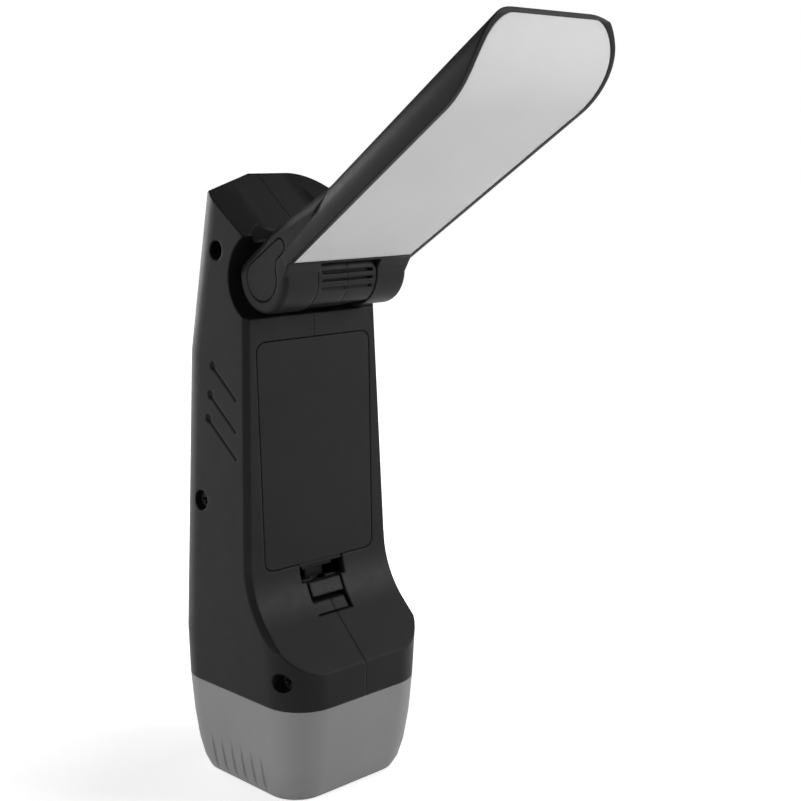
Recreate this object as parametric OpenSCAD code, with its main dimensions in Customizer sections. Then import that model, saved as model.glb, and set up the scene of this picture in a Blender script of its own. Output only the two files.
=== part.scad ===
// Folding desk lamp: a black stand that holds three AA cells, a grey foot cap
// and an arm with a milky light cover. Millimetres, +Z up, -Y is the front.
// The origin is the centre of the foot's underside.

/* [Stand] */
// Half width of the stand just above the foot cap
joint_hw = 27.25; // [27:0.05:27.5]
// Half width of the stand at its widest
wide_hw = 28.56; // [28.4:0.02:28.8]
// Height of the widest level
wide_z = 69; // [68:0.5:70]
// How much each side leans in per millimetre of height
taper = 0.0345; // [0.034:0.0005:0.035]
// Distance from the middle to the back face at the foot cap
back_low = 29.6; // [29.4:0.1:30]
// Distance from the middle to the back face at the widest level
back_wide = 27; // [26.8:0.1:27.2]
// Distance from the middle to the back face at the kink
back_kink = 23; // [22.8:0.1:23.2]
// Height of the kink of the back face
kink_z = 132.6; // [130:1:134]
// Lean of the back face above the kink
back_lean = 0.1055; // [0.1:0.0005:0.11]
// Distance from the middle to the front of the toe
toe_y = 30.3; // [30:0.1:30.6]
// Radius of the upright corners
corner_r = 13; // [12.6:0.1:13.2]
// Wall thickness of the housing
wall = 2.2; // [2:0.1:2.4]
// Bevel between the side walls and the front
bevel = 1.55; // [1.2:0.05:1.8]

/* [Front curve] */
// Radius of the hollow curve above the toe
curve_r = 28; // [27.5:0.1:28.5]
// Distance of the curve's centre in front of the middle
curve_y = 37.95; // [37.8:0.05:38.1]
// Height of the curve's centre
curve_z = 72.5; // [72:0.1:73]
// Lean of the flat front above the curve, degrees
front_lean = 1.52; // [1.4:0.02:1.6]
// Angle where the curve runs into the slope, degrees
slope_a = 46; // [45.5:0.1:46.5]

/* [Hinge] */
// Distance of the hinge axis in front of the middle
hinge_y = 13.3; // [13.2:0.05:13.4]
// Height of the hinge axis
hinge_z = 156.5; // [156:0.1:157]
// Radius of the hollow round the hinge
pocket_r = 13.3; // [13.1:0.05:13.4]
// Radius of the knuckle
knuckle_r = 10.1; // [9.9:0.1:10.3]
// Half width of the knuckle
knuckle_hw = 11.3; // [11.1:0.05:11.35]
// Diameter of the hinge pin
pin_d = 3; // [2.8:0.1:3.4]
// Lean of the cut at the top, degrees
top_a = 34.84; // [34.4:0.02:35.2]
// Height of the lip of the top cut
lip_z = 168.7; // [168.4:0.1:169]
// Distance of the lip in front of the middle
lip_y = 5.8; // [5.6:0.1:6]

/* [Foot cap] */
// Height of the foot cap
foot_h = 30.2; // [29.8:0.1:30.6]
// Half width of the foot on the floor
foot_hw = 23.1; // [22.8:0.1:23.4]
// Number of grooves on each side of the foot
groove_n = 6; // [3:1:6]

/* [Battery door] */
// Half width of the door at its top
door_hw_top = 22.1; // [21.9:0.1:22.2]
// Half width of the door at its foot
door_hw_low = 21.5; // [21.3:0.1:21.7]
// Height of the door's lower edge
door_z0 = 68.8; // [68.6:0.1:69]
// Height of the door's upper edge
door_z1 = 137.1; // [136.8:0.1:137.2]
// Gap round the door
door_gap = 0.3; // [0.25:0.05:0.4]

/* [Arm] */
// Angle of the arm above level as it stands, degrees
arm_a = 32.3; // [0:0.1:50]
// How much narrower than the stand the arm is on each side
arm_inset = 1.55; // [1.5:0.05:1.7]
// Distance of the folded arm's back in front of the middle, near the hinge
arm_back = 23.4; // [23.2:0.1:23.6]
// Height of the folded arm's tip
tip_z = 47.5; // [47.4:0.1:48]
// Height where the folded arm's shell ends below the hinge
arm_end_z = 145; // [144.8:0.1:145.1]
// Wall thickness of the arm's shell
arm_wall = 1.6; // [1.5:0.1:1.7]
// Radius of the hinge ears
ear_r = 8.6; // [8.4:0.1:8.7]

/* [Cells and screws] */
// Diameter of a cell
cell_d = 14.2; // [14:0.1:14.3]
// Length of a cell
cell_l = 50.5; // [50:0.1:50.5]
// Distance between the cells
cell_pitch = 14.5; // [14.45:0.05:14.6]
// Height of the cells' lower ends
cell_z = 78; // [77.5:0.1:78.5]
// Diameter of a screw's shank
screw_d = 2.8; // [2.6:0.1:3]
// Diameter of a screw's head
screw_head_d = 5; // [4.8:0.1:5.2]

/* [Hidden] */
$fn = 64;
hull_fn = 48;
skin = 0.01;
big = 200;
run = 0.05;
axis_y = -hinge_y;
arc_y = -curve_y;
bore_r = pin_d / 2 + run;
shank_r = screw_d / 2;
hole_r = shank_r + run;
head_r = screw_head_d / 2;
top_z = 190;
head_t = 1.6;
part_gap = 0.1;
low_bend = 16;
kink_bulge = 0.03;

function side_at(z) =
  z < wide_z ? joint_hw + (wide_hw - joint_hw) * min(1, (z - foot_h) / low_bend)
             : wide_hw - taper * (z - wide_z);
function back_at(z) =
  z < wide_z ? back_low + (back_wide - back_low) * (z - foot_h) / (wide_z - foot_h)
  : z < kink_z ? back_wide + (back_kink - back_wide) * (z - wide_z) / (kink_z - wide_z)
  : back_kink - back_lean * (z - kink_z);
function top_at(y) = lip_z + tan(top_a) * (y + lip_y);

// Rounded rectangle slice at height z
module slice(z, hw, yf, yb, r) {
  for (x = [-hw + r, hw - r])
    for (y = [yf + r, yb - r])
      translate([x, y, z])
        cylinder(h = skin, r = r, $fn = hull_fn);
}

// Outside of the stand, moved in by t
module column(t, z0 = foot_h) {
  hull() {
    for (z = [z0, foot_h + low_bend, wide_z, top_z])
      slice(z, side_at(z) - t, -toe_y + t, back_at(z) - t, corner_r - t);
    slice(kink_z, side_at(kink_z) + kink_bulge - t, 0, back_at(kink_z) - t, corner_r - t);
  }
}

// A profile in the Y-Z plane drawn out along X
module along_x(w) {
  rotate([90, 0, 90])
    linear_extrude(height = w, center = true)
      children();
}

arc_steps = 30;

// Everything in front of the curve of radius r, of centre (y, z)
module front_area(r, y, z) {
  a = [y + r * cos(front_lean), z - r * sin(front_lean)];
  b = a + 150 * [sin(front_lean), cos(front_lean)];
  t = [y + r * cos(slope_a), z - r * sin(slope_a)];
  e = t - 70 * [sin(slope_a), cos(slope_a)];
  arc = [for (i = [0:arc_steps])
           let (v = front_lean + (slope_a - front_lean) * i / arc_steps)
             [y + r * cos(v), z - r * sin(v)]];
  polygon(concat([[-big, b[1]], b], arc, [e, [-big, e[1]]]));
}

module front_cut(r, w = big) {
  along_x(w)
    front_area(r, arc_y, curve_z);
}

// Bevels between one side wall and the front, side s is -1 or 1. The cone
// along the curve starts a little inside it, so no faces coincide.
module side_bevels(s) {
  za = curve_z - curve_r * sin(front_lean);
  ya = arc_y + curve_r * cos(front_lean);
  translate([s * (side_at(za) - bevel), ya, za])
    rotate([-front_lean, -s * atan(taper), 0])
      rotate([0, 0, s * 45])
        translate([-big / 2, -big, 0])
          cube([big, big, big]);
  x0 = wide_hw - bevel;
  translate([0, arc_y, curve_z])
    rotate([0, s * 90, 0])
      rotate_extrude($fn = 128)
        polygon([[0, x0 - 1], [curve_r - 1, x0 - 1], [curve_r + 8, x0 + 8], [0, x0 + 8]]);
  yt = arc_y + curve_r * cos(slope_a);
  zt = curve_z - curve_r * sin(slope_a);
  translate([s * x0, yt, zt])
    rotate([-slope_a, 0, 0])
      rotate([0, 0, s * 45])
        translate([-big / 2, -big, -40])
          cube([big, big, 40]);
}

// Space above the leaning cut at the top, lowered by t
module top_cut(t) {
  translate([0, -lip_y, lip_z - t])
    rotate([top_a, 0, 0])
      translate([-60, -80, 0])
        cube([120, 160, 60]);
}

corner_x = 6;
corner_y = 16.9;
corner_lean = [-24.94, 21.6];

// Cut that lowers the rear corner of the top on side s
module corner_cut(s) {
  translate([s * corner_x, corner_y, top_at(corner_y)])
    rotate([corner_lean[0], s * corner_lean[1], 0])
      translate([-40, -40, 0])
        cube(80);
}

scoop_r = 12;
scoop_hw = 9;
scoop_tilt = 4.8;

// Basin in the top cut, deepest at the lip and running out at the back
module scoop() {
  y = back_at(top_z - 5);
  translate([0, y, top_at(y)])
    rotate([top_a + scoop_tilt + 90, 0, 0])
      linear_extrude(height = 120, center = true) {
        for (s = [-1, 1])
          translate([s * scoop_hw, scoop_r])
            circle(r = scoop_r, $fn = 96);
        translate([-scoop_hw, 0])
          square([2 * scoop_hw, 2 * scoop_r]);
      }
}

room_gap = 0.5;
room_z = 166;

// Room for the back of the arm when it is opened as far as it goes
module arm_room() {
  y = 2 * hinge_y - arm_back - 3 * room_gap;
  hull()
    for (x = [-1, 1])
      translate([x * (side_at(arm_end_z) - arm_inset - arm_r), -y - arm_r, room_z])
        cylinder(h = 40, r = arm_r, $fn = hull_fn);
}

// Hinge pocket across the stand, made larger by t
module pocket(t) {
  translate([0, axis_y, hinge_z])
    rotate([0, 90, 0])
      cylinder(h = big, r = pocket_r + t, center = true, $fn = 96);
}

web_y = 3;

// Knuckle profile with its web to the housing
module knuckle_area() {
  polygon(concat([for (v = [60:7.5:232.5])
                    [axis_y + knuckle_r * cos(v), hinge_z + knuckle_r * sin(v)]],
                 [[axis_y + 5.6, hinge_z - 10.6], [web_y, hinge_z - 12],
                  [web_y, hinge_z + 6]]));
}

// Slots between the ribs of the knuckle: height above the hinge and width
slots = [[1.3, 0.9], [-1, 0.8], [-3.5, 0.9], [-6.3, 0.9]];
slot_hw = 9.9;
slot_t = 1.4;

module knuckle() {
  difference() {
    along_x(2 * knuckle_hw)
      knuckle_area();
    for (c = slots)
      translate([-slot_hw, axis_y - knuckle_r - 2, hinge_z + c[0] - c[1] / 2])
        cube([2 * slot_hw, 2 + slot_t, c[1]]);
    on_x(axis_y, hinge_z)
      cylinder(h = big, r = bore_r, center = true, $fn = 48);
  }
}

// Case screws: [y, z, x of the head's seat, radius of the recess]
case_screw = [[5.9, 163.5, -15, 2.9], [12.3, 88.1, -24.4, 3.1], [-22.7, 39.1, -22, 3]];
boss_r = 3.4;
screw_end = 10.3;

// Moves to a line along X at height z
module on_x(y, z) {
  translate([0, y, z])
    rotate([0, 90, 0])
      children();
}

module case_bosses() {
  for (c = case_screw) {
    on_x(c[0], c[1])
      cylinder(h = 70, r = boss_r, center = true);
    on_x(c[0], c[1])
      translate([0, 0, -40])
        cylinder(h = 40 + c[2] + 1.2, r = c[3] + 1.4);
  }
}

module case_screw_holes() {
  for (c = case_screw) {
    on_x(c[0], c[1])
      translate([0, 0, -40])
        cylinder(h = 40 + c[2], r = c[3]);
    on_x(c[0], c[1])
      translate([0, 0, c[2] - 1])
        cylinder(h = screw_end - c[2] + 1.7, r = hole_r);
  }
}

base_screw_x = 14;
base_screw_y = 4;
base_seat_z = 24;
base_boss_h = 9;
boss_floor = 1.5;

module at_base_screws(s) {
  translate([s * base_screw_x, base_screw_y, 0])
    children();
}

// Gills of the sides: [y, z] of the rear end, [y, z] of the front end
gills = [[6.7, 128.9, -4.4, 120.2], [7.8, 120.2, -4.4, 110.8], [8.7, 113, -4.8, 102.8]];
gill_d = 0.35;
gill_end_r = 1.4;

module gill(g, s) {
  l = norm([g[2] - g[0], g[3] - g[1]]);
  a = atan2(g[3] - g[1], g[2] - g[0]);
  translate([s * side_at(g[1]), g[0], g[1]])
    rotate([a, 0, 0])
      rotate([0, 0, -s * 1.2])
        rotate([0, 45, 0])
          translate([-gill_d, 0, -gill_d])
            cube([2 * gill_d, l, 2 * gill_d]);
  translate([s * (side_at(g[1]) + 0.4), g[0] + 0.3, g[1] + 0.6])
    sphere(r = gill_end_r, $fn = 32);
}

// Corner of radius r about c, from angle v on a quarter turn
function corner(c, r, v) = [for (i = [0:6]) c + r * [cos(v + 15 * i), sin(v + 15 * i)]];

// Opening for the door, moved out by g
module door_area(g) {
  r = 3 + g;
  low = door_hw_low + g - r;
  top = door_hw_top + g - r;
  z0 = door_z0 - g + r;
  z1 = door_z1 + g - r;
  rotate([90, 0, 0])
    linear_extrude(height = 60)
      polygon(concat(corner([top, z1], r, 0), corner([-top, z1], r, 90),
                     corner([-low, z0], r, 180), corner([low, z0], r, 270)));
}

// Finger notch below the door, the latch's recess and the slot in its floor
notch_hw = 8.8;
notch_z = 62.9;
recess_hw = 7;
recess_z = 53.5;
recess_y = -9.2;
floor_t = 2.4;
track_hw = 2.4;
track_z = 57.2;
shelf_z = 54.2;

// Block below the latch, flush with the recess on its left
module rest_block(l) {
  translate([-recess_hw - 0.5, -40, recess_z + 0.5])
    cube([recess_hw + 0.5 + 5.4, l, 3]);
}

button_z = 125;
button_r = 5.4;

module shell_cuts() {
  door_area(door_gap);
  translate([-notch_hw, -60, notch_z])
    cube([2 * notch_hw, 60, door_z0 - notch_z + 1]);
  translate([-recess_hw, -60, recess_z])
    cube([2 * recess_hw, 60 + recess_y, notch_z - recess_z + 1]);
  translate([-track_hw, -60, track_z])
    cube([2 * track_hw, 60, notch_z - track_z + 1]);
  translate([0, 0, button_z])
    rotate([-90, 0, 0])
      cylinder(h = 60, r = button_r + 0.15);
  case_screw_holes();
}

// Floor of the latch's recess and the shelf that its spring stands on
module latch_walls() {
  translate([-recess_hw - 2.5, -20, recess_z - 3.5])
    cube([2 * recess_hw + 5, 20 + recess_y + floor_t, notch_z - recess_z + 3.5]);
  translate([-4.5, -8, shelf_z - 2])
    cube([9, 3.8, 2]);
}

// Rails above and below the end of the battery tray on side s
module tray_rails(s) {
  for (z = [tray_z0 - rail_t - part_gap, tray_z1 + part_gap])
    translate([s > 0 ? rail_x : -rail_x - 20, -3, z])
      cube([20, tray_back + 2.9, rail_t]);
}

module shell(s) {
  difference() {
    union() {
      difference() {
        column(0);
        difference() {
          column(wall, foot_h + 2.8);
          front_cut(curve_r + wall);
          pocket(wall);
          top_cut(6.4);
          case_bosses();
          at_base_screws(s)
            cylinder(h = foot_h + base_boss_h, r = 4);
          latch_walls();
          tray_rails(s);
        }
        front_cut(curve_r);
        side_bevels(s);
        pocket(0);
        top_cut(0);
        scoop();
        if (s < 0)
          corner_cut(s);
        arm_room();
      }
      knuckle();
      difference() {
        rest_block(41 + recess_y);
        front_cut(curve_r + 1.2);
      }
    }
    difference() {
      shell_cuts();
      rest_block(40 + recess_y);
    }
    on_x(axis_y, hinge_z)
      cylinder(h = big, r = bore_r, center = true, $fn = 48);
    lead_paths(wire_r + run);
    for (g = gills)
      gill(g, s);
    at_base_screws(s)
      cylinder(h = foot_h + base_boss_h - boss_floor, r = hole_r);
    translate([s > 0 ? -big : 0, -big, 0])
      cube([big, 2 * big, 2 * big]);
  }
}

module left_shell() {
  color("#26272a")
    shell(-1);
}

module right_shell() {
  color("#26272a")
    shell(1);
}

// Levels of the foot cap: [share of its height, share of the way out]
foot_levels = [[0, 0], [0.106, 0.3], [0.298, 0.58], [0.596, 0.82], [1, 1]];
foot_front = 23.5;
foot_back = 23.65;
foot_corner_r = 9.8;
foot_wall = 2.4;
foot_floor = 3;
groove_y = 12;
groove_pitch = 4.74;

// Foot cap, moved in by t and starting at z_low
module foot_block(t, z_low) {
  hull()
    for (f = foot_levels) {
      k = f[1];
      z = max(z_low, f[0] * foot_h);
      slice(min(z, foot_h - skin), foot_hw + (joint_hw - foot_hw) * k - t,
            -foot_front - (toe_y - foot_front) * k + t,
            foot_back + (back_low - foot_back) * k - t,
            foot_corner_r + (corner_r - foot_corner_r) * k - t);
    }
}

module base_cap() {
  color("#8d8f91")
    difference() {
      foot_block(0, 0);
      difference() {
        foot_block(foot_wall, foot_floor);
        for (s = [-1, 1])
          at_base_screws(s)
            cylinder(h = foot_h, r = head_r + 3.5);
      }
      for (s = [-1, 1])
        at_base_screws(s) {
          translate([0, 0, -1])
            cylinder(h = base_seat_z + 1, r = head_r + 0.5);
          cylinder(h = foot_h + 1, r = hole_r);
        }
      for (s = [-1, 1])
        for (i = [0:groove_n - 1])
          translate([s * (foot_hw + 0.9), groove_y - i * groove_pitch, 0.5])
            rotate([0, s * 12, 0])
              cylinder(h = 13.5, r = 0.75, $fn = 24);
    }
}

module base_screws() {
  color("#9a9c9f")
    for (s = [-1, 1])
      at_base_screws(s) {
        translate([0, 0, base_seat_z - head_t])
          cylinder(h = head_t, r = head_r);
        translate([0, 0, base_seat_z - 0.1])
          cylinder(h = 13, r = shank_r);
      }
}

cross_l = 3;
cross_t = 0.8;

module shell_screws() {
  color("#2b2b2d")
    for (c = case_screw) {
      on_x(c[0], c[1])
        translate([0, 0, c[2] - head_t])
          difference() {
            cylinder(h = head_t, r = head_r);
            for (l = [[cross_l, cross_t], [cross_t, cross_l]])
              translate([-l[0] / 2, -l[1] / 2, -1])
                cube([l[0], l[1], 1.9]);
          }
      on_x(c[0], c[1])
        translate([0, 0, c[2] - 0.1])
          cylinder(h = screw_end - c[2] + 0.1, r = shank_r);
    }
}

door_t = 2.2;
hook_x = 14;
hook_w = 4;
tab_hw = 6;
tab_t = 1.4;
tab_z = 66;

module battery_door() {
  color("#26272a") {
    intersection() {
      door_area(0);
      difference() {
        front_cut(curve_r + door_t);
        front_cut(curve_r);
      }
    }
    door_lip();
    translate([-tab_hw, recess_y + 0.9, tab_z])
      cube([2 * tab_hw, tab_t, 5]);
    for (s = [-1, 1])
      translate([s * hook_x - hook_w / 2, -5.75, door_z1 - 4])
        cube([hook_w, 1.4, 7.2]);
    for (s = [-1, 1])
      translate([s * hook_x - hook_w / 2, -7.6, door_z1 - 4])
        cube([hook_w, 2.6, 3.7]);
  }
}

// Lip of the door above the finger notch
module door_lip() {
  translate([0.4 - notch_hw, -9.95, 67.5])
    cube([2 * (notch_hw - 0.4), 1.8, 2.4]);
}

flange_y = recess_y + floor_t;
latch_z = 58.5;
pad_hw = 6.2;
bar_hw = 4.8;
bar_t = 1.2;
spring_turn = 30;
spring_t = 0.3;
spring_pitch = 0.97;
spring_foot = (sin(spring_turn) + cos(spring_turn)) * spring_t / 2;

module door_latch() {
  color("#2a2b2e") {
    difference() {
      translate([-pad_hw, -40, latch_z])
        cube([2 * pad_hw, 40 + recess_y - part_gap, 4]);
      front_cut(curve_r);
    }
    translate([part_gap - track_hw, recess_y - 1, latch_z + 0.5])
      cube([2 * (track_hw - part_gap), floor_t + 2, 3]);
    translate([-bar_hw, flange_y + part_gap, latch_z])
      cube([2 * bar_hw, bar_t, 3.9]);
    translate([-3.5, flange_y + part_gap, latch_z + 3.5])
      cube([7, bar_t, 3.8]);
  }
}

// Folded leaf between the shelf and the latch
module latch_spring() {
  color("#b9bbbe")
    translate([0, flange_y + 1, shelf_z + spring_foot])
      along_x(4)
        for (i = [0:3])
          translate([-0.8, spring_pitch * (i + i % 2)])
            rotate(i % 2 == 0 ? spring_turn : -spring_turn)
              translate([-spring_t / 2, -spring_t / 2])
                square([1.9, spring_t]);
}

tray_hw = 23.2;
tray_back = 10.3;
tray_z0 = 73;
tray_z1 = 135;
tray_end = 1.4;
cell_y = 1.5;
cell_gap = 0.08;
rail_x = 19.5;
rail_t = 2;
contact_hw = 5;
contact_t = 0.4;

module battery_tray() {
  color("#1d1e20")
    difference() {
      union() {
        translate([-tray_hw, -3, tray_z0])
          cube([2 * tray_hw, tray_back + 3, tray_z1 - tray_z0]);
        for (x = [-board_x, board_x])
          for (z = board_hole_z)
            translate([x, board_y, z])
              rotate([90, 0, 0])
                cylinder(h = board_y - tray_back + 1, r = 1.9);
      }
      for (i = [-1:1])
        translate([i * cell_pitch, cell_y, tray_z0 + tray_end])
          cylinder(h = tray_z1 - tray_z0 - 2 * tray_end, r = cell_d / 2 + cell_gap);
      for (i = [-1:1])
        translate([i * cell_pitch - cell_d / 2 - cell_gap, -20, tray_z0 + tray_end])
          cube([cell_d + 2 * cell_gap, 20 + cell_y, tray_z1 - tray_z0 - 2 * tray_end]);
      on_x(case_screw[1][0], case_screw[1][1])
        cylinder(h = big, r = boss_r + 0.15, center = true);
      board_holes();
    }
}

// Board screws, in x and z
board_x = 12;
board_hole_z = [95, 131];

module board_holes() {
  for (x = [-board_x, board_x])
    for (z = board_hole_z)
      translate([x, 20, z])
        rotate([90, 0, 0])
          cylinder(h = 12, r = 0.85);
}

module cell(i) {
  color("#3f6f5a")
    translate([i * cell_pitch, cell_y, cell_z])
      rotate([i == 0 ? 180 : 0, 0, 0])
        translate([0, 0, i == 0 ? -cell_l : 0])
          rotate_extrude()
            polygon([[0, 0], [6.6, 0], [cell_d / 2, 0.5], [cell_d / 2, cell_l - 1.7],
                     [cell_d / 2 - 0.6, cell_l - 1.2], [2.7, cell_l - 1.2],
                     [2.7, cell_l], [0, cell_l]]);
}

module cell_1() {
  cell(-1);
}

module cell_2() {
  cell(0);
}

module cell_3() {
  cell(1);
}

// Room between the tray's end and cell i, at its upper or lower end
function cell_room(up) =
  up ? tray_z1 - tray_end - cell_z - cell_l : cell_z - tray_z0 - tray_end;

// Contact plate of cell i, with what is drawn on it
module contact(i, up) {
  translate([i * cell_pitch, cell_y, up ? tray_z1 - tray_end : tray_z0 + tray_end])
    mirror([0, 0, up ? 1 : 0]) {
      translate([-contact_hw, -contact_hw, 0])
        cube([2 * contact_hw, 2 * contact_hw, contact_t]);
      children();
    }
}

rings = 5;

// Contact springs at the flat ends, as stacked rings that narrow to the cell
module spring_contacts() {
  color("#c9cbce")
    for (i = [-1:1]) {
      up = i == 0;
      h = (cell_room(up) - contact_t - 2 * skin) / rings;
      contact(i, up)
        for (k = [0:rings - 1])
          translate([0, 0, contact_t + h * k])
            rotate_extrude($fn = 48)
              translate([4.3 - 0.5 * k, 0])
                square([0.8, h + skin]);
    }
}

module plate_contacts() {
  color("#c9cbce")
    for (i = [-1:1])
      contact(i, i != 0)
        cylinder(h = cell_room(i != 0), r = 2.4);
}

board_y = 14;
board_t = 1.6;
board_z0 = 92.5;
board_z1 = 134;

module driver_board() {
  color("#1f5c3a")
    difference() {
      translate([-16, board_y, board_z0])
        cube([32, board_t, board_z1 - board_z0]);
      board_holes();
    }
}

module board_screws() {
  color("#a7a9ac")
    for (x = [-board_x, board_x])
      for (z = board_hole_z) {
        translate([x, board_y + board_t + 1, z])
          rotate([90, 0, 0])
            cylinder(h = 1, r = 1.8);
        translate([x, board_y + board_t + 0.1, z])
          rotate([90, 0, 0])
            cylinder(h = 7, r = 0.8);
      }
}

switch_y = board_y + board_t;
switch_t = 2.6;
plunge_r = 1.75;
press = 0.6;

module tact_switch() {
  color("#3a3b3d")
    difference() {
      translate([-3, switch_y, button_z - 3])
        cube([6, switch_t, 6]);
      translate([0, switch_y + 0.6, button_z])
        rotate([-90, 0, 0])
          cylinder(h = 5, r = plunge_r + run);
    }
}

module switch_plunger() {
  color("#151517")
    translate([0, switch_y + 0.6 + press + 0.15, button_z])
      rotate([-90, 0, 0])
        cylinder(h = switch_t - 0.55, r = plunge_r);
}

stem_y = switch_y + press + switch_t + 0.2;

module power_button() {
  color("#2e2f32") {
    y_in = back_at(button_z) - wall;
    translate([0, y_in - 1.8, button_z])
      rotate([-90, 0, 0])
        cylinder(h = 1.15, r = button_r + 1.4);
    translate([0, y_in - 0.8, button_z])
      rotate([-90, 0, 0])
        cylinder(h = wall + 1.6, r = button_r);
    translate([0, stem_y, button_z])
      rotate([-90, 0, 0])
        cylinder(h = y_in - 1 - stem_y, r = 1.5);
  }
}

wire_r = 0.6;
lead_x = 15;
lead_y = 11.1;
lead_z = [120, tray_z1 + 0.9];

// Insulated leads from the tray's contacts to the board
module battery_wires() {
  color("#a8322c")
    for (s = [-1, 1])
      translate([s * lead_x, 0, 0]) {
        translate([0, lead_y, lead_z[0]])
          cylinder(h = lead_z[1] - lead_z[0], r = wire_r, $fn = 24);
        translate([0, cell_y, lead_z[1]])
          rotate([-90, 0, 0])
            cylinder(h = lead_y - cell_y, r = wire_r, $fn = 24);
        translate([0, lead_y, lead_z[0]])
          rotate([-90, 0, 0])
            cylinder(h = board_y - lead_y, r = wire_r, $fn = 24);
        for (z = lead_z)
          translate([0, lead_y, z])
            sphere(r = wire_r, $fn = 24);
      }
}

arm_lead_x = [-7, -4.6];
arm_lead_z = [129, 146];
arm_lead_turn = 65;
arm_lead_l = 18;

// Upper legs of the leads to the arm, which end in the web of the knuckle
module lead_paths(r) {
  for (x = arm_lead_x)
    translate([x, board_y + board_t + wire_r + 0.25, arm_lead_z[1]])
      rotate([arm_lead_turn, 0, 0])
        cylinder(h = arm_lead_l, r = r, $fn = 24);
}

// Leads from the board up to the hinge
module body_wires() {
  color("#d9d9d6") {
    for (x = arm_lead_x)
      translate([x, board_y + board_t + wire_r, arm_lead_z[0]])
        cylinder(h = arm_lead_z[1] - arm_lead_z[0] + 0.4, r = wire_r, $fn = 24);
    lead_paths(wire_r * 0.98);
  }
}

ear_in = 11.6;
ear_out = 23.9;
cap_t = 1.2;
washer_r = 6;
washer_play = 0.06;
pin_len = 2 * (ear_out - cap_t - 0.4);

module hinge_axle() {
  color("#b4b7ba")
    on_x(axis_y, hinge_z)
      cylinder(h = pin_len, d = pin_d, center = true, $fn = 48);
}

module friction_washers() {
  color("#d8d2c0")
    for (s = [-1, 1])
      translate([s * (knuckle_hw + ear_in) / 2, 0, 0])
        on_x(axis_y, hinge_z)
          difference() {
            cylinder(h = ear_in - knuckle_hw - washer_play, r = washer_r, center = true);
            cylinder(h = 3, r = bore_r, center = true, $fn = 48);
          }
}

// Puts what is drawn in the folded place where the arm stands
module raised() {
  translate([0, axis_y, hinge_z])
    rotate([-90 - arm_a, 0, 0])
      translate([0, -axis_y, -hinge_z])
        children();
}

arm_r = 12.5;
ear_low_z = 122;
ear_w = ear_out - ear_in;
drum_edge = 1.7;
drum_r = ear_r + drum_edge;
arm_c_y = -40.4;
arm_c_z = 71.3;

function arm_hw(z) = side_at(max(z, wide_z - 4)) - arm_inset + 0.024 * max(0, wide_z - z);
function arm_back_at(z) = -arm_back - 0.0345 * (arm_end_z - z);

module arm_slice(z, t, r) {
  slice(z, arm_hw(z) - t, arm_back_at(z) + t, 12, r - t);
}

module arm_block(t) {
  hull()
    for (z = [tip_z, wide_z - 4, hinge_z + 10])
      arm_slice(z, t, arm_r);
}

// Block with sharper corners that the ears are cut from
module ear_block() {
  hull() {
    arm_slice(ear_low_z, 0, arm_r);
    for (z = [hinge_z - 10, hinge_z + 10])
      arm_slice(z, 0, 5);
  }
}

module below(z) {
  translate([-60, -60, 0])
    cube([120, 120, z]);
}

// Everything on the stand's side of the folded light cover, moved in by t
module cover_side(t, z_top = arm_end_z + 1) {
  difference() {
    translate([-40, -60, 0])
      cube([80, 100, z_top]);
    along_x(big)
      front_area(curve_r - t, arm_c_y, arm_c_z);
  }
}

// Outline of the cap over the pin's end, moved out by g
module cap_area(g) {
  difference() {
    union() {
      translate([axis_y, hinge_z])
        circle(r = 6.5 + g);
      translate([-17, 144.6])
        circle(r = 2 + g);
      polygon([[-19.8 - g, hinge_z], [-19 - g, 144.6], [-16, 142.7 - g], [-14.8 + g, 144.4],
               [-14.7 + g, 147.9], [-11 + g, 150.8 - g], [axis_y, hinge_z]]);
    }
    translate([-60 - g, 100])
      square([60 - 18.9, 100]);
  }
}

// Two ears with their webs to the arm
module ears() {
  for (s = [-1, 1]) {
    translate([s * ear_in, axis_y, hinge_z])
      rotate([0, s * 90, 0])
        rotate_extrude($fn = 96)
          polygon(concat([[0, 0], [drum_r, 0]],
                         [for (v = [0:15:90])
                            [ear_r + drum_edge * cos(v), ear_w - drum_edge + drum_edge * sin(v)]],
                         [[0, ear_w]]));
    translate([s * (ear_out + ear_in) / 2, 0, 0])
      along_x(ear_w)
        polygon([[axis_y - ear_r, hinge_z], [axis_y - ear_r - 4, arm_end_z - 1],
                 [axis_y - ear_r - 4, ear_low_z + 0.5], [axis_y - 6, ear_low_z + 0.5],
                 [axis_y + 2.4, arm_end_z - 1.6], [axis_y + ear_r - 2.4, hinge_z - 5.8]]);
  }
}

module arm_shell_folded() {
  difference() {
    union() {
      difference() {
        intersection() {
          arm_block(0);
          below(arm_end_z);
        }
        cover_side(0);
      }
      intersection() {
        ear_block();
        ears();
      }
    }
    difference() {
      intersection() {
        arm_block(arm_wall);
        below(arm_end_z - 2);
      }
      for (b = led_boss)
        translate([b[0], b[1] - 20, b[2]])
          rotate([-90, 0, 0])
            cylinder(h = 20, r = 2.2);
    }
    cover_side(0, arm_end_z - 1.6);
    for (b = led_boss)
      translate([b[0], b[1] - 2.6, b[2]])
        rotate([-90, 0, 0])
          cylinder(h = 30, r = 0.85);
    on_x(axis_y, hinge_z)
      cylinder(h = big, r = bore_r, center = true, $fn = 48);
    for (s = [-1, 1])
      translate([s * (ear_out + 5 - cap_t), 0, 0])
        along_x(10)
          cap_area(0.35);
    translate([-ear_in, axis_y, arm_end_z - 0.6])
      cube([2 * ear_in, 30, 30]);
  }
}

module arm_shell() {
  color("#26272a")
    raised()
      arm_shell_folded();
}

cover_t = 1.6;

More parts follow.
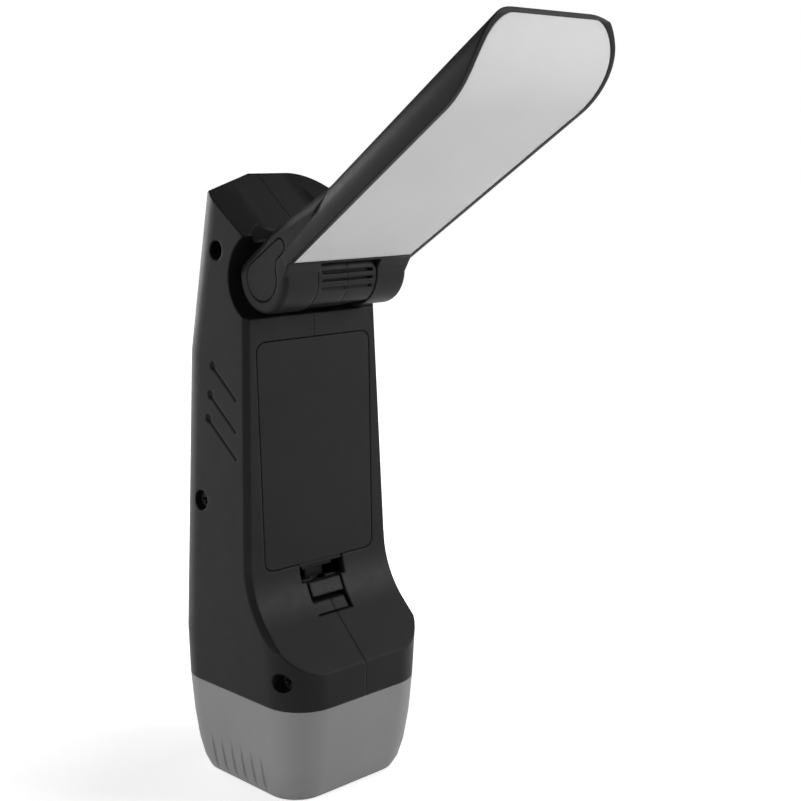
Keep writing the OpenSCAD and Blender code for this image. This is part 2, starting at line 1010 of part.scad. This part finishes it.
module diffuser() {
  color("#e9e7e0")
    raised()
      difference() {
        intersection() {
          arm_block(arm_wall + 0.08);
          below(arm_end_z - 2.1);
        }
        cover_side(0.1);
        along_x(big)
          front_area(curve_r - cover_t, arm_c_y - 0.05, arm_c_z);
      }
}

// LED board in the folded arm, and its screws: [x, y of the boss top, z]
board_front_y = -19;
led_board_t = 1;
board_hw = 18;
board_low = 75;
board_high = 139;
led_boss_x = board_hw - 3;
led_boss_in = 5;
led_boss = [for (z = [board_high - led_boss_in, board_low + led_boss_in])
              for (s = [-1, 1])
                [s * led_boss_x, board_front_y - led_board_t, z]];

module led_board() {
  color("#e6e6e2")
    raised()
      difference() {
        translate([-board_hw, board_front_y - led_board_t, board_low])
          cube([2 * board_hw, led_board_t, board_high - board_low]);
        for (b = led_boss)
          translate([b[0], b[1] - 1, b[2]])
            rotate([-90, 0, 0])
              cylinder(h = 4, r = 0.85);
      }
}

led_w = 3;
led_dx = 9;
led_dz = 11;
led_z0 = 84;

module leds() {
  color("#f2e7a8")
    raised()
      for (x = [-led_dx, 0, led_dx])
        for (i = [0:4])
          translate([x - led_w / 2, board_front_y, led_z0 + led_dz * i])
            cube([led_w, 0.9, led_w]);
}

module led_board_screws() {
  color("#a7a9ac")
    raised()
      for (b = led_boss) {
        translate([b[0], board_front_y, b[2]])
          rotate([-90, 0, 0])
            cylinder(h = 0.9, r = 1.6);
        translate([b[0], b[1] - 2.2, b[2]])
          rotate([-90, 0, 0])
            cylinder(h = 3.4, r = 0.8);
      }
}

// White frame in front of the board, and its window
frame_hw = board_hw + 1.1;
frame_low = board_low - 3;
frame_high = board_high + 1;
frame_t = 3.2;
window_hw = board_hw - 0.7;
window_low = board_low + 1;
window_high = board_high - 1.5;

module reflector() {
  color("#f4f4f0")
    raised()
      difference() {
        translate([-frame_hw, board_front_y + 0.05, frame_low])
          cube([2 * frame_hw, frame_t, frame_high - frame_low]);
        translate([-window_hw, board_front_y - 1, window_low])
          cube([2 * window_hw, 14, window_high - window_low]);
        for (b = led_boss)
          translate([b[0], board_front_y - 1, b[2]])
            rotate([-90, 0, 0])
              cylinder(h = 10, r = 2.3);
      }
}

module hinge_cap(s) {
  color("#1f2022")
    raised()
      translate([s * (ear_out - cap_t / 2), 0, 0])
        along_x(cap_t)
          cap_area(0);
}

module hinge_cap_left() {
  hinge_cap(-1);
}

module hinge_cap_right() {
  hinge_cap(1);
}

left_shell();
right_shell();
base_cap();
battery_door();
door_latch();
latch_spring();
shell_screws();
base_screws();
battery_tray();
cell_1();
cell_2();
cell_3();
spring_contacts();
plate_contacts();
battery_wires();
driver_board();
board_screws();
tact_switch();
switch_plunger();
power_button();
hinge_axle();
friction_washers();
body_wires();
arm_shell();
diffuser();
reflector();
led_board();
leds();
led_board_screws();
hinge_cap_left();
hinge_cap_right();
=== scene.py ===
import math
import bpy
from mathutils import Matrix, Vector

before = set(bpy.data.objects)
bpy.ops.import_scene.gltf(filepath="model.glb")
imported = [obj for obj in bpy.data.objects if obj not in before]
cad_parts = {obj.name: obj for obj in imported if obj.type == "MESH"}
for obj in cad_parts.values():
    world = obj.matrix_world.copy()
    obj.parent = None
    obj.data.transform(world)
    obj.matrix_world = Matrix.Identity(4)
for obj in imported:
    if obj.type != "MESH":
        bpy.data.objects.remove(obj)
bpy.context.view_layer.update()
scene = bpy.context.scene


# Node helpers

def add(tree, kind, **values):
    node = tree.nodes.new(kind)
    for key, value in values.items():
        setattr(node, key, value)
    return node


def link(tree, out, into):
    tree.links.new(out, into)


def math_node(tree, operation, a, b):
    node = add(tree, "ShaderNodeMath", operation=operation)
    for socket, value in ((node.inputs[0], a), (node.inputs[1], b)):
        if isinstance(value, (int, float)):
            socket.default_value = value
        else:
            link(tree, value, socket)
    return node.outputs[0]


def noise(tree, position, scale, detail=2.0, roughness=0.5):
    node = add(tree, "ShaderNodeTexNoise")
    link(tree, position, node.inputs["Vector"])
    node.inputs["Scale"].default_value = scale
    node.inputs["Detail"].default_value = detail
    node.inputs["Roughness"].default_value = roughness
    return node.outputs["Fac"]


def ramp(tree, value, low, high, out_low, out_high):
    node = add(tree, "ShaderNodeMapRange")
    link(tree, value, node.inputs["Value"])
    node.inputs["From Min"].default_value = low
    node.inputs["From Max"].default_value = high
    node.inputs["To Min"].default_value = out_low
    node.inputs["To Max"].default_value = out_high
    return node.outputs["Result"]


def two_tone(tree, value, dark, pale):
    node = add(tree, "ShaderNodeMix", data_type="RGBA")
    link(tree, value, node.inputs[0])
    node.inputs[6].default_value = (*dark, 1)
    node.inputs[7].default_value = (*pale, 1)
    return node.outputs[2]


def moulded(name, dark, pale, rough=(0.42, 0.5), grain=1 / 0.00035, depth=0.00002,
            edge=0.0004, specular=0.5, coat=0.0, metallic=0.0, mottle=60.0,
            subsurface=0.0):
    """Moulded or sheet material: cloudy colour, fine surface grain, softened edges."""
    mat = bpy.data.materials.new(name)
    mat.use_nodes = True
    tree = mat.node_tree
    shader = tree.nodes["Principled BSDF"]
    place = add(tree, "ShaderNodeTexCoord").outputs["Object"]
    cloud = noise(tree, place, mottle, 3.0)
    link(tree, two_tone(tree, ramp(tree, cloud, 0.35, 0.65, 0, 1), dark, pale),
         shader.inputs["Base Color"])
    smear = noise(tree, place, mottle * 5, 4.0, 0.6)
    link(tree, ramp(tree, smear, 0.3, 0.7, rough[0], rough[1]), shader.inputs["Roughness"])
    fine = noise(tree, place, grain, 2.0, 0.6)
    bump = add(tree, "ShaderNodeBump")
    bump.inputs["Strength"].default_value = 0.6
    bump.inputs["Distance"].default_value = depth
    link(tree, fine, bump.inputs["Height"])
    if edge:
        soft = add(tree, "ShaderNodeBevel", samples=6)
        soft.inputs["Radius"].default_value = edge
        link(tree, soft.outputs["Normal"], bump.inputs["Normal"])
    link(tree, bump.outputs["Normal"], shader.inputs["Normal"])
    shader.inputs["Metallic"].default_value = metallic
    shader.inputs["Specular IOR Level"].default_value = specular
    shader.inputs["Coat Weight"].default_value = coat
    if subsurface:
        shader.inputs["Subsurface Weight"].default_value = subsurface
        shader.inputs["Subsurface Radius"].default_value = (1.0, 1.0, 1.0)
        shader.inputs["Subsurface Scale"].default_value = 0.0015
    return mat


def grey(level):
    return (level, level, level)


housing = moulded("housing", grey(0.009), grey(0.011), rough=(0.44, 0.5), specular=0.12,
                  edge=0.0009)
door_plastic = moulded("door_plastic", grey(0.01), grey(0.012), rough=(0.46, 0.52),
                       specular=0.12)
foot_plastic = moulded("foot_plastic", grey(0.265), grey(0.28), rough=(0.5, 0.58),
                       specular=0.2)
cover_plastic = moulded("cover_plastic", grey(0.88), grey(0.91), rough=(0.5, 0.58), specular=0.2,
                        depth=0.00001, edge=0.0003, subsurface=0.3, mottle=35.0)
white_plastic = moulded("white_plastic", grey(0.78), grey(0.82), rough=(0.3, 0.36),
                        edge=0.0002)
tray_plastic = moulded("tray_plastic", grey(0.016), grey(0.02), edge=0.0002)
switch_plastic = moulded("switch_plastic", grey(0.02), grey(0.03), edge=0.0001)
cell_sleeve = moulded("cell_sleeve", (0.06, 0.17, 0.11), (0.08, 0.2, 0.13),
                      rough=(0.2, 0.28), edge=0.0003, coat=0.3)
wire_cover = moulded("wire_cover", (0.42, 0.03, 0.025), (0.5, 0.04, 0.03),
                     rough=(0.35, 0.42), edge=0)
board_green = moulded("board_green", (0.012, 0.1, 0.04), (0.018, 0.13, 0.055),
                      rough=(0.25, 0.35), edge=0.0001)
led_resin = moulded("led_resin", (0.78, 0.66, 0.18), (0.86, 0.74, 0.24),
                    rough=(0.15, 0.22), edge=0.0001)
washer_plastic = moulded("washer_plastic", (0.62, 0.58, 0.48), (0.7, 0.66, 0.55),
                         rough=(0.4, 0.5), edge=0.0001)
bright_steel = moulded("bright_steel", grey(0.62), grey(0.7), rough=(0.18, 0.28),
                       metallic=1.0, edge=0.0001, grain=1 / 0.0002, depth=0.000004)
screw_black = moulded("screw_black", grey(0.006), grey(0.01), rough=(0.4, 0.5),
                      specular=0.2, edge=0.0001, grain=1 / 0.0002, depth=0.000006)
screw_steel = moulded("screw_steel", grey(0.3), grey(0.36), rough=(0.3, 0.42),
                      metallic=1.0, edge=0.0001, grain=1 / 0.0002, depth=0.000006)

finish_of = {
    "left_shell": housing, "right_shell": housing, "base_cap": foot_plastic,
    "battery_door": door_plastic, "door_latch": housing, "latch_spring": bright_steel,
    "shell_screws": screw_black, "base_screws": screw_steel, "battery_tray": tray_plastic,
    "cell_1": cell_sleeve, "cell_2": cell_sleeve, "cell_3": cell_sleeve,
    "spring_contacts": bright_steel, "plate_contacts": bright_steel,
    "battery_wires": wire_cover, "driver_board": board_green, "board_screws": screw_steel,
    "tact_switch": switch_plastic, "switch_plunger": switch_plastic,
    "power_button": housing, "hinge_axle": bright_steel,
    "friction_washers": washer_plastic, "body_wires": wire_cover, "arm_shell": housing,
    "diffuser": cover_plastic, "reflector": white_plastic, "led_board": white_plastic,
    "leds": led_resin, "led_board_screws": screw_steel, "hinge_cap_left": housing,
    "hinge_cap_right": housing,
}


# Shading of the rounded faces: edges sharper than this stay crisp
crease_deg = 16.5
merge_gap = 0.000001


def smoothing_group():
    group = bpy.data.node_groups.new("smooth_rounds", "GeometryNodeTree")
    group.interface.new_socket("Geometry", in_out="INPUT", socket_type="NodeSocketGeometry")
    group.interface.new_socket("Geometry", in_out="OUTPUT", socket_type="NodeSocketGeometry")
    start = add(group, "NodeGroupInput")
    end = add(group, "NodeGroupOutput")
    merge = add(group, "GeometryNodeMergeByDistance")
    merge.inputs["Distance"].default_value = merge_gap
    faces = add(group, "GeometryNodeSetShadeSmooth", domain="FACE")
    faces.inputs["Shade Smooth"].default_value = True
    edges = add(group, "GeometryNodeSetShadeSmooth", domain="EDGE")
    edges.inputs["Shade Smooth"].default_value = False
    angle = add(group, "GeometryNodeInputMeshEdgeAngle")
    sharp = add(group, "FunctionNodeCompare", data_type="FLOAT", operation="GREATER_THAN")
    sharp.inputs[1].default_value = math.radians(crease_deg)
    link(group, angle.outputs["Unsigned Angle"], sharp.inputs[0])
    link(group, sharp.outputs["Result"], edges.inputs["Selection"])
    link(group, start.outputs[0], merge.inputs["Geometry"])
    link(group, merge.outputs["Geometry"], faces.inputs["Geometry"])
    link(group, faces.outputs["Geometry"], edges.inputs["Geometry"])
    link(group, edges.outputs["Geometry"], end.inputs[0])
    return group


rounds = smoothing_group()
for name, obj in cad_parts.items():
    obj.data.materials.clear()
    obj.data.materials.append(finish_of[name])
    obj.modifiers.new("smooth_rounds", "NODES").node_group = rounds
    flats = obj.modifiers.new("flat_faces", "WEIGHTED_NORMAL")
    flats.mode = "FACE_AREA"
    flats.keep_sharp = True
    flats.weight = 50


# Floor: white in the picture, with the object's shadow close to its foot
floor_half = 6
floor_drop = 0.0002
shadow_near, shadow_far = 0.06, 0.22
glow_near, glow_far = 0.62, 1.0

floor_mesh = bpy.data.meshes.new("floor")
floor_mesh.from_pydata([(x * floor_half, y * floor_half, 0)
                        for x, y in ((-1, -1), (1, -1), (1, 1), (-1, 1))], [], [(0, 1, 2, 3)])
floor = bpy.data.objects.new("floor", floor_mesh)
scene.collection.objects.link(floor)
floor.location.z = -floor_drop
floor_mat = bpy.data.materials.new("floor")
floor_mat.use_nodes = True
tree = floor_mat.node_tree
tree.nodes.remove(tree.nodes["Principled BSDF"])
paper = add(tree, "ShaderNodeBsdfDiffuse")
paper.inputs["Color"].default_value = (0.8, 0.8, 0.8, 1)
glow = add(tree, "ShaderNodeEmission")
place = add(tree, "ShaderNodeTexCoord").outputs["Object"]
spread = add(tree, "ShaderNodeVectorMath", operation="LENGTH")
link(tree, place, spread.inputs[0])
far = ramp(tree, spread.outputs["Value"], shadow_near, shadow_far, glow_near, glow_far)
seen = add(tree, "ShaderNodeLightPath")
shown = math_node(tree, "MAXIMUM", seen.outputs["Is Camera Ray"],
                  math_node(tree, "MAXIMUM", seen.outputs["Is Glossy Ray"],
                            seen.outputs["Is Transmission Ray"]))
link(tree, math_node(tree, "MULTIPLY", shown, far), glow.inputs["Strength"])
both = add(tree, "ShaderNodeAddShader")
link(tree, paper.outputs[0], both.inputs[0])
link(tree, glow.outputs[0], both.inputs[1])
link(tree, both.outputs[0], tree.nodes["Material Output"].inputs["Surface"])
floor_mesh.materials.append(floor_mat)


# World: white where the camera sees it, a plain grey as light
room_light = 0.02

world = bpy.data.worlds.new("studio")
scene.world = world
world.use_nodes = True
tree = world.node_tree
room = tree.nodes["Background"]
room.inputs["Color"].default_value = (1, 1, 1, 1)
room.inputs["Strength"].default_value = room_light
white = add(tree, "ShaderNodeBackground")
white.inputs["Color"].default_value = (1, 1, 1, 1)
white.inputs["Strength"].default_value = 1.0
seen = add(tree, "ShaderNodeLightPath")
pick = add(tree, "ShaderNodeMixShader")
link(tree, math_node(tree, "MAXIMUM", seen.outputs["Is Camera Ray"],
                     seen.outputs["Is Transmission Ray"]), pick.inputs[0])
link(tree, room.outputs[0], pick.inputs[1])
link(tree, white.outputs[0], pick.inputs[2])
link(tree, pick.outputs[0], tree.nodes["World Output"].inputs["Surface"])


# Lights: soft boxes round the lamp, all at one distance from its middle
middle = Vector((0, 0, 0.12))
box_away = 1.1
box_side = 0.5

# Angle round the lamp, height angle and power. 0 is in front of the lamp, to the
# right of the camera, and 180 is behind the lamp.
soft_boxes = ((45, 20, 8.0), (75, 45, 2.5), (180, 8, 4.0), (225, 8, 1.4), (270, 8, 4.2),
              (270, 50, 1.6))


def soft_box(name, place, power):
    data = bpy.data.lights.new(name, "AREA")
    data.shape = "RECTANGLE"
    data.size = box_side
    data.size_y = box_side
    data.energy = power
    obj = bpy.data.objects.new(name, data)
    scene.collection.objects.link(obj)
    obj.location = place
    obj.rotation_mode = "QUATERNION"
    obj.rotation_quaternion = (middle - place).to_track_quat("-Z", "Y")


for turn_deg, rise_deg, power in soft_boxes:
    a, e = math.radians(turn_deg), math.radians(rise_deg)
    away = Vector((math.sin(a) * math.cos(e), -math.cos(a) * math.cos(e), math.sin(e)))
    soft_box(f"box_{turn_deg}_{rise_deg}", middle + box_away * away, power)


# Camera at the photograph's viewing angle
camera_place = (-0.2824, -0.3327, 0.1938)
camera_ahead = Vector((0.68991, 0.70256, -0.17445)).normalized()

camera_data = bpy.data.cameras.new("camera")
camera = bpy.data.objects.new("camera", camera_data)
scene.collection.objects.link(camera)
camera_data.sensor_width = 36
camera_data.lens = 64.96
camera_data.clip_start = 0.01
camera_data.clip_end = 50
side = camera_ahead.cross(Vector((0, 0, 1))).normalized()
up = side.cross(camera_ahead)
turn = Matrix((side, up, -camera_ahead)).transposed()
camera.rotation_mode = "QUATERNION"
camera.rotation_quaternion = turn.to_quaternion()
camera.location = camera_place
scene.camera = camera

scene.view_settings.view_transform = "Standard"
